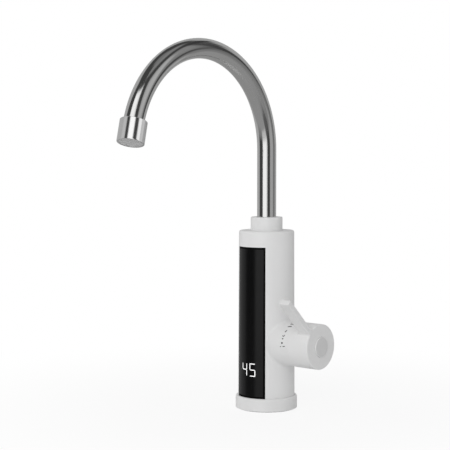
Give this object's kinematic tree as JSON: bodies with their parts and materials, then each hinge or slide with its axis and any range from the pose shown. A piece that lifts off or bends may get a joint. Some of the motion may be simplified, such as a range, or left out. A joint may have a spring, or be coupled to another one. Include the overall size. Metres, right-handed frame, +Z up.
{
  "type": "instant hot water tap",
  "caption": "Deck-mounted electric tap that heats water as it flows: white round body with a dark display window, side lever knob and a swivelling steel swan-neck spout with a tilting aerator.",
  "frame": {"origin": "on the deck surface, at the axis of the body and of the inlet shank", "axes": "+Z is up along the body's axis, -Y is the front with the window and the spout at rest, +X is the side with the lever knob"},
  "size_m": [0.0999, 0.2331, 0.4059],
  "materials": {
    "white_plastic": "smooth white, soft gloss",
    "cap_plastic": "smooth white, satin",
    "black_window": "polished black",
    "lit_lens": "lit white",
    "mark_ink": "printed dark grey",
    "dark_lens": "polished, unlit",
    "spout_steel": "polished stainless",
    "aerator_chrome": "polished",
    "inner_steel": "drawn stainless",
    "screw_steel": "zinc plated",
    "brass": "machined",
    "rubber": "moulded black",
    "plate_plastic": "filled plastic, matt",
    "circuit_board": "green lacquer",
    "led_case": "matt white",
    "relay_case": "matt black",
    "terminal_plastic": "matt green",
    "sink_aluminium": "plain",
    "ceramic": "lapped ceramic",
    "reed_glass": "clear",
    "magnet": "plain",
    "slip_plastic": "moulded, matt"
  },
  "bodies": {
    "tap_body": {"base_ring": "white_plastic", "base_gasket": "rubber", "base_plate": "plate_plastic", "base_screws": "screw_steel", "cord_grommet": "rubber", "inlet_shank": "brass", "inlet_screen": "inner_steel", "shank_seal": "rubber", "body_shell": "white_plastic", "display_window": "black_window", "lit_segments": "lit_lens", "unlit_segments": "dark_lens", "display_board": "circuit_board", "led_module": "led_case", "control_board": "circuit_board", "power_relay": "relay_case", "terminal_block": "terminal_plastic", "triac_heat_sink": "sink_aluminium", "valve_body": "brass", "nipple_seal": "rubber", "cartridge_seal": "rubber", "fixed_disc": "ceramic", "cartridge_body": "brass", "boss_bezel": "white_plastic", "reed_switch": "reed_glass", "heater_tank": "inner_steel", "heating_element": "inner_steel", "tank_lid": "brass", "lid_seal": "rubber", "lid_screws": "screw_steel", "temperature_probe": "inner_steel", "thermal_cutout": "sink_aluminium", "spout_nut": "white_plastic", "slip_ring": "slip_plastic"},
    "handle": {"handle_knob": "white_plastic", "switch_magnet": "magnet", "handle_screw": "screw_steel", "handle_cap": "cap_plastic", "spindle": "brass", "spindle_seal": "rubber", "moving_disc": "ceramic"},
    "spout": {"swivel_bush": "brass", "swivel_seals": "rubber", "spout_tube": "spout_steel", "aerator_ball": "brass"},
    "aerator": {"aerator_washer": "rubber", "aerator_insert": "slip_plastic", "aerator_mesh": "inner_steel", "aerator_housing": "aerator_chrome"}
  },
  "joints": [
    {"name": "spout_swivel", "type": "hinge", "parent": "tap_body", "child": "spout", "pos_m": [0, 0, 0.1789], "axis": [0, 0, 1], "continuous": true},
    {"name": "handle_turn", "type": "hinge", "parent": "tap_body", "child": "handle", "pos_m": [0.0437, 0, 0.067], "axis": [1, 0, 0], "range_deg": [-46, 44]},
    {"name": "aerator_tilt", "type": "hinge", "parent": "spout", "child": "aerator", "pos_m": [0, -0.18588, 0.27744], "axis": [-0.5976, -0.7786, 0.1913], "range_deg": [-20, 3.5]}
  ]
}
